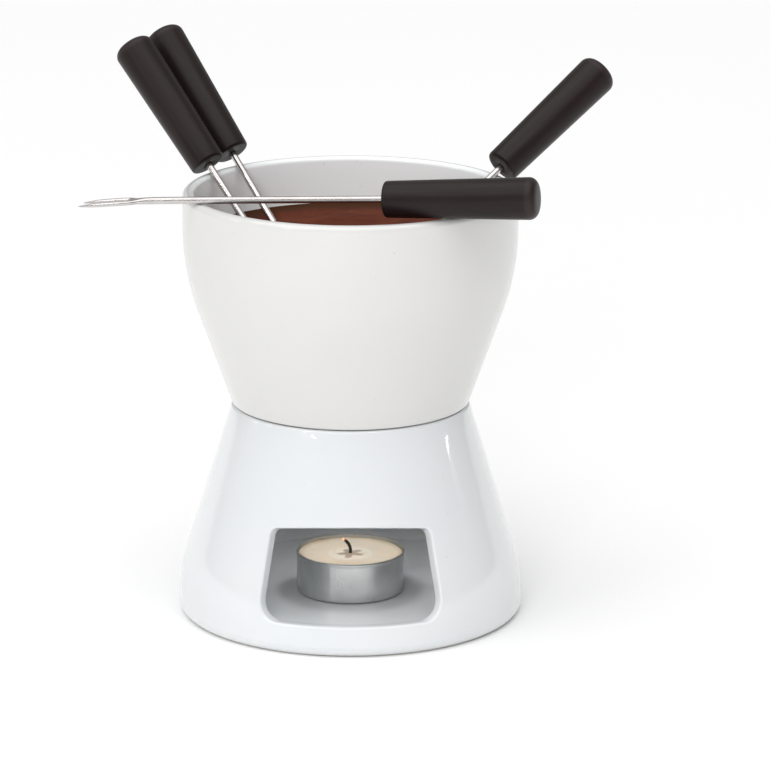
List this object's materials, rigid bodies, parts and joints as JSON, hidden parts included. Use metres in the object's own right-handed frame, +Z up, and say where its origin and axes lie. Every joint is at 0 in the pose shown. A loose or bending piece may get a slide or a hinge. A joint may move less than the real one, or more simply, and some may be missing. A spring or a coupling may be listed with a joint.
{
  "type": "fondue pot set",
  "caption": "Ceramic fondue bowl seated on a windowed ceramic stand that holds a tealight, with melted chocolate and dark-handled dipping forks resting on its rim.",
  "frame": {"origin": "on the table under the middle of the pot, at the foot ring's height", "axes": "+Z up along the pot's axis, -Y out through the window in the base, +X to the right seen from the window"},
  "size_m": [0.1854, 0.1299, 0.1963],
  "materials": {
    "base_glaze": "gloss",
    "bowl_glaze": "gloss",
    "chocolate": "gloss",
    "tealight_aluminium": "satin",
    "wax": "satin",
    "tin_plate": "satin",
    "wick_cotton": "matte",
    "fork_handle": "satin",
    "fork_steel": "polished"
  },
  "bodies": {
    "base": {"base": "base_glaze"},
    "bowl": {"bowl": "bowl_glaze", "melted_chocolate": "chocolate"},
    "tealight": {"tealight_cup": "tealight_aluminium"},
    "candle": {"candle_wax": "wax", "wick_sustainer": "tin_plate", "wick": "wick_cotton"},
    "fork_1": {"fork_1_handle": "fork_handle", "fork_1_steel": "fork_steel"},
    "fork_2": {"fork_2_handle": "fork_handle", "fork_2_steel": "fork_steel"},
    "fork_3": {"fork_3_handle": "fork_handle", "fork_3_steel": "fork_steel"},
    "fork_4": {"fork_4_handle": "fork_handle", "fork_4_steel": "fork_steel"}
  },
  "joints": [
    {"name": "bowl_lift", "type": "slide", "parent": "base", "child": "bowl", "axis": [0, 0, 1], "range_m": [0, 0.08]},
    {"name": "tealight_draw", "type": "slide", "parent": "base", "child": "tealight", "axis": [0, -0.9903, 0.1386], "range_m": [0, 0.09]},
    {"name": "candle_lift", "type": "slide", "parent": "tealight", "child": "candle", "axis": [0, 0, 1], "range_m": [0, 0.02]},
    {"name": "fork_1_pull", "type": "slide", "parent": "bowl", "child": "fork_1", "axis": [-0.5243, 0.4557, 0.7193], "range_m": [0, 0.12]},
    {"name": "fork_2_pull", "type": "slide", "parent": "bowl", "child": "fork_2", "axis": [-0.4876, 0.4876, 0.7242], "range_m": [0, 0.12]},
    {"name": "fork_3_pull", "type": "slide", "parent": "bowl", "child": "fork_3", "axis": [0.6791, 0.4755, 0.5592], "range_m": [0, 0.12]},
    {"name": "fork_4_lift", "type": "slide", "parent": "bowl", "child": "fork_4", "axis": [0, 0, 1], "range_m": [0, 0.06]}
  ]
}
